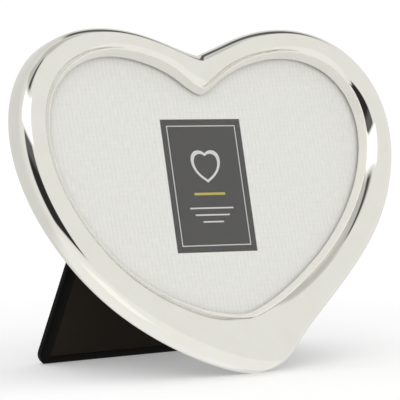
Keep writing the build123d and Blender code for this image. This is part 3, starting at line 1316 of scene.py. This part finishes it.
@dataclass
class Stack:
    """Glass, insert, filler, back board and its covering, from the front."""

    ledge: float = 2.5 * MM
    clearance: float = 0.2 * MM
    skin: float = 0.02 * MM
    layers: tuple[tuple[str, str, float, float, Slot], ...] = (
        ("glass_sheet", "glass_pane", 3.8 * MM, 4.8 * MM, Slot.GLASS),
        ("insert_sheet", "insert_card", 3.4 * MM, 3.8 * MM, Slot.PRINT),
        ("filler_sheet", "filler_card", 2.8 * MM, 3.4 * MM, Slot.PLAIN_CARD),
    )

    def build(self, finishes: dict[Slot, Material]) -> None:
        """Model the sheets that show and dress the board and its covering.

        Args:
            finishes: materials by slot.
        """
        for name, node, back, front, slot in self.layers:
            piece = self._sheet(name, back + self.skin, front - self.skin)
            Shop.fit_out(piece, Body.FRAME, slot, finishes[slot], node)
        Shop.dress_node("back_board", finishes[Slot.HARDBOARD])
        Shop.dress_node("back_cover", finishes[Slot.BACK_CLOTH])

    def _sheet(self, name: str, back: float, front: float) -> bpy.types.Object:
        """A flat heart between two heights.

        Args:
            name: name of the piece.
            back: height of its back face.
            front: height of its front face.

        Returns:
            The closed mesh.
        """
        outline = HEART.ring(lambda band: band - self.ledge + self.clearance)
        piece = Shop.start_ring(name, [STANCE.on_heart(x, y, back) for x, y in outline])
        bpy.ops.mesh.edge_face_add()
        Shop.extrude_ring(piece, [STANCE.on_heart(x, y, front) for x, y in outline])
        Shop.close(piece)
        return piece


@dataclass
class Strut:
    """The back strut: board, leathercloth folded round it, and liner."""

    front: float = -2.1 * MM
    back: float = 1.1 * MM
    top: float = 3.8 * MM
    top_width: float = 78 * MM
    foot_width: float = 102 * MM
    corner: float = 5 * MM
    window_corner: float = 0.4 * MM
    skin: float = 0.35 * MM
    fold: float = 0.105 * MM
    side_border: float = 4.2 * MM
    foot_border: float = 3.2 * MM
    soft_edge: float = 0.6 * MM
    edge_steps: int = 4
    corner_steps: int = 10

    def down_to_floor(self, back: float) -> float:
        """Distance from the pin down to the floor, at a depth in the strut."""
        return (STANCE.pin_z + back * math.sin(STANCE.strut_lean)) / math.cos(STANCE.strut_lean)

    def build(self, finishes: dict[Slot, Material]) -> None:
        """Model the covering, and dress the board and the liner.

        Args:
            finishes: materials by slot.
        """
        rings = self._skin_rings()
        piece = Shop.start_ring("strut_covering", rings[0])
        bpy.ops.mesh.edge_face_add()
        for ring in rings[1:]:
            Shop.extrude_ring(piece, ring)
        Shop.close(piece, smooth_angle=35)
        Shop.fit_out(piece, Body.STRUT, Slot.LEATHERCLOTH, finishes[Slot.LEATHERCLOTH], "strut_wrap")
        Shop.dress_node("strut_board", finishes[Slot.HARDBOARD])
        Shop.dress_node("strut_liner", finishes[Slot.LINING])

    def _skin_rings(self) -> list[list[Vector]]:
        """Rings of the covering: back face, rounded edges, front border, window and inside.

        Returns:
            The rings in order.
        """
        rings = []
        turns = [math.pi / 2 * step / self.edge_steps for step in range(self.edge_steps + 1)]
        for turn in turns:
            inset = self.soft_edge * (1 - math.sin(turn))
            rings.append(self._outline(inset, inset, self.back - self.soft_edge * (1 - math.cos(turn))))
        for turn in turns:
            inset = self.soft_edge * (1 - math.cos(turn))
            rings.append(self._outline(inset, inset, self.front + self.soft_edge * (1 - math.sin(turn))))
        middle = self.fold * ROUNDING_SHARE
        for more, depth in ((-self.fold, 0.0), (-middle, middle), (0.0, self.fold), (0.0, self.skin)):
            side, foot = self.side_border + more, self.foot_border + more
            rings.append(self._outline(side, foot, self.front + depth, self.window_corner))
        for depth in (self.front + self.skin, self.back - self.skin):
            rings.append(self._outline(self.skin, self.skin, depth))
        return rings

    def _outline(self, side: float, foot: float, back: float, corner: float | None = None) -> list[Vector]:
        """World points round the strut's face.

        Args:
            side: how far in from both sides and from the top edge.
            foot: how far up from the floor.
            back: depth in the strut.
            corner: radius of the foot's corners, where it isn't the board's own.

        Returns:
            The points in order.
        """
        low = self.down_to_floor(back) - foot
        high = self.top + side
        flare = (self.foot_width - self.top_width) / 2 / (self.down_to_floor(self.back) - self.top)
        half_top = self.top_width / 2 + flare * (high - self.top) - side
        radius = self.corner - side if corner is None else corner
        deepest = self.down_to_floor(self.back) - foot if corner is None else low
        centre = deepest - radius
        splay = math.atan(flare)
        across = self.top_width / 2 + flare * (centre - self.top) - side - radius / math.cos(splay)
        points = [(-half_top, high), (half_top, high)]
        for step in range(self.corner_steps + 1):
            turn = -splay + (math.pi / 2 + splay) * step / self.corner_steps
            down = min(centre + radius * math.sin(turn), low)
            points.append((across + radius * math.cos(turn), down))
        points += [(-x, down) for x, down in reversed(points[2:])]
        return [STANCE.on_strut(x, down, back) for x, down in points]


@dataclass
class Fittings:
    """Hinge leaves, pin, rivets, turn buttons and screws, carried over from the CAD."""

    nodes: tuple[str, ...] = (
        "hinge_leaf_upper",
        "hinge_leaf_lower",
        "hinge_pin",
        "hinge_rivets_upper",
        "hinge_rivets_lower",
        "button_screws",
        "turn_button_upper_left",
        "turn_button_lower_left",
        "turn_button_upper_right",
        "turn_button_lower_right",
    )

    def build(self, finish: Material) -> None:
        """Dress the fittings."""
        for name in self.nodes:
            Shop.dress_node(name, finish)


@dataclass(frozen=True)
class Patch:
    """One soft-edged part of the surroundings, by compass and height in degrees.

    The compass is 0 towards -Y, where the glass faces, and 90 towards +X. A bound that lies
    past 180 degrees of compass or 90 of height leaves that side open.
    """

    compass: tuple[float, float]
    rise: tuple[float, float]
    tone: float
    soft_compass: tuple[float, float] = (6.0, 6.0)
    soft_rise: tuple[float, float] = (6.0, 6.0)


@dataclass
class Studio:
    """Floor, camera and surroundings, whose tones are shares of white."""

    target: Vector = field(default_factory=lambda: STANCE.on_heart(-7.9 * MM, 65.7 * MM, 4.8 * MM))
    towards_camera: Vector = field(default_factory=lambda: Vector((-0.5416, -0.8341, 0.1045)))
    distance: float = 1202 * MM
    lens: float = 292.4
    sensor: float = 36.0
    floor_size: float = 6.0
    nearest: float = 50 * MM
    floor_tone: float = 0.9
    floor_roughness: float = 0.9
    floor_lift: float = 0.27
    front_tone: float = 0.95
    back_tone: float = 0.80
    # How far back a direction points where the back's tone is reached.
    back_share: float = 0.8
    patches: tuple[Patch, ...] = (
        # Dim ceiling, which comes lower behind and lowest on the left.
        Patch((-400, 400), (81, 120), 0.66, soft_rise=(10, 6)),
        Patch((94, 400), (68, 120), 0.62, soft_compass=(20, 6), soft_rise=(10, 6)),
        Patch((-400, -90), (68, 120), 0.62, soft_compass=(6, 14), soft_rise=(10, 6)),
        Patch((-130, -86), (50, 92), 0.60, soft_compass=(20, 8), soft_rise=(8, 6)),
        # Pale wall on the right, and the light that the floor throws back.
        Patch((10, 110), (-60, 32.5), 0.95, soft_compass=(20, 30), soft_rise=(6, 3)),
        Patch((-400, 400), (-120, -38), 1.03, soft_rise=(6, 10)),
        Patch((-114, -50), (-74, -50), 1.2, soft_compass=(20, 24), soft_rise=(8, 8)),
        # Broad lamp on the left, which gives the white streaks.
        Patch((-99, -33), (23, 45.5), 1.6, soft_compass=(8, 12), soft_rise=(3, 5)),
        # Dark openings, which give the black streaks.
        Patch((-87, -61), (50, 79), 0.08, soft_compass=(8, 26), soft_rise=(6, 8)),
        Patch((103, 158), (36, 61), 0.12, soft_compass=(20, 10), soft_rise=(10, 14)),
        Patch((-84, -45), (-30, 20.5), 0.14, soft_compass=(9, 4), soft_rise=(5, 3)),
        Patch((-82, -46), (-29, 7), 0.03, soft_compass=(9, 4), soft_rise=(5, 9)),
    )

    def build(self) -> None:
        """Set the stage."""
        self._camera()
        self._floor()
        self._world()
        bpy.context.scene.view_settings.view_transform = "Standard"

    def _camera(self) -> None:
        """Add the camera of the photograph."""
        Shop.clear_selection()
        place = self.target + self.towards_camera.normalized() * self.distance
        bpy.ops.object.camera_add(location=place)
        camera = bpy.context.object
        camera.rotation_euler = (self.target - place).to_track_quat("-Z", "Y").to_euler()
        camera.data.lens = self.lens
        camera.data.sensor_width = self.sensor
        camera.data.clip_start = self.nearest
        bpy.context.scene.camera = camera

    def _floor(self) -> None:
        """Add the pale floor, which metal and glass see through to the surroundings."""
        Shop.clear_selection()
        bpy.ops.mesh.primitive_plane_add(size=self.floor_size)
        floor = bpy.context.object
        floor.name = "floor"
        nodes = Nodes("pale_floor")
        nodes.set(Base_Color=(*toned(WHITE, self.floor_tone), 1.0), Roughness=self.floor_roughness)
        nodes.set(Specular_IOR_Level=0.0, Emission_Color=(*WHITE, 1.0))
        seen = nodes.add("ShaderNodeLightPath").outputs["Is Camera Ray"]
        nodes.drive("Emission Strength", nodes.math("MULTIPLY", seen, self.floor_lift))
        nodes.see_through(("Is Glossy Ray", "Is Transmission Ray"), WHITE)
        floor.data.materials.append(nodes.material)

    def _world(self) -> None:
        """Surround the stage with a pale tent that has a broad lamp and dark openings."""
        world = bpy.data.worlds.new("tent")
        bpy.context.scene.world = world
        world.use_nodes = True
        nodes = TentNodes(world)
        x, y, z = nodes.axes(nodes.add("ShaderNodeTexCoord").outputs["Generated"])
        turn = nodes.math("ARCTAN2", x, nodes.math("MULTIPLY", y, -1.0))
        compass = nodes.math("MULTIPLY", turn, math.degrees(1))
        rise = nodes.math("MULTIPLY", nodes.math("ARCSINE", z), math.degrees(1))
        tone = nodes.remap(y, 0.0, self.back_share, self.front_tone, self.back_tone, smooth=True)
        for patch in self.patches:
            mask = nodes.math(
                "MULTIPLY",
                self._window(nodes, compass, patch.compass, patch.soft_compass),
                self._window(nodes, rise, patch.rise, patch.soft_rise),
            )
            gap = nodes.math("SUBTRACT", patch.tone, tone)
            tone = nodes.math("MULTIPLY_ADD", gap, mask, tone)
        seen = nodes.add("ShaderNodeLightPath").outputs["Is Camera Ray"]
        tone = nodes.math("MULTIPLY_ADD", nodes.math("SUBTRACT", 1.0, tone), seen, tone)
        background = world.node_tree.nodes["Background"]
        background.inputs["Color"].default_value = (*WHITE, 1.0)
        nodes.link(tone, background.inputs["Strength"])

    @staticmethod
    def _window(
        nodes: Nodes, value: Socket, span: tuple[float, float], soft: tuple[float, float]
    ) -> Socket:
        """Mask of a span with soft ends.

        Args:
            nodes: the tree to build in.
            value: the angle.
            span: its low and high ends.
            soft: width of the change at each end.

        Returns:
            1 inside and 0 outside.
        """
        low, high = span
        rising = nodes.remap(value, low - soft[0] / 2, low + soft[0] / 2, smooth=True)
        falling = nodes.remap(value, high - soft[1] / 2, high + soft[1] / 2, 1.0, 0.0, smooth=True)
        return nodes.math("MULTIPLY", rising, falling)


def main() -> None:
    """Build every sub-assembly in order."""
    made = {slot: finish.make(slot.value) for slot, finish in FINISHES.items()}
    FrontFrame().build(made[Slot.SILVER])
    Stack().build(made)
    Strut().build(made)
    Fittings().build(made[Slot.NICKEL])
    Studio().build()


if __name__ == "__main__":
    main()
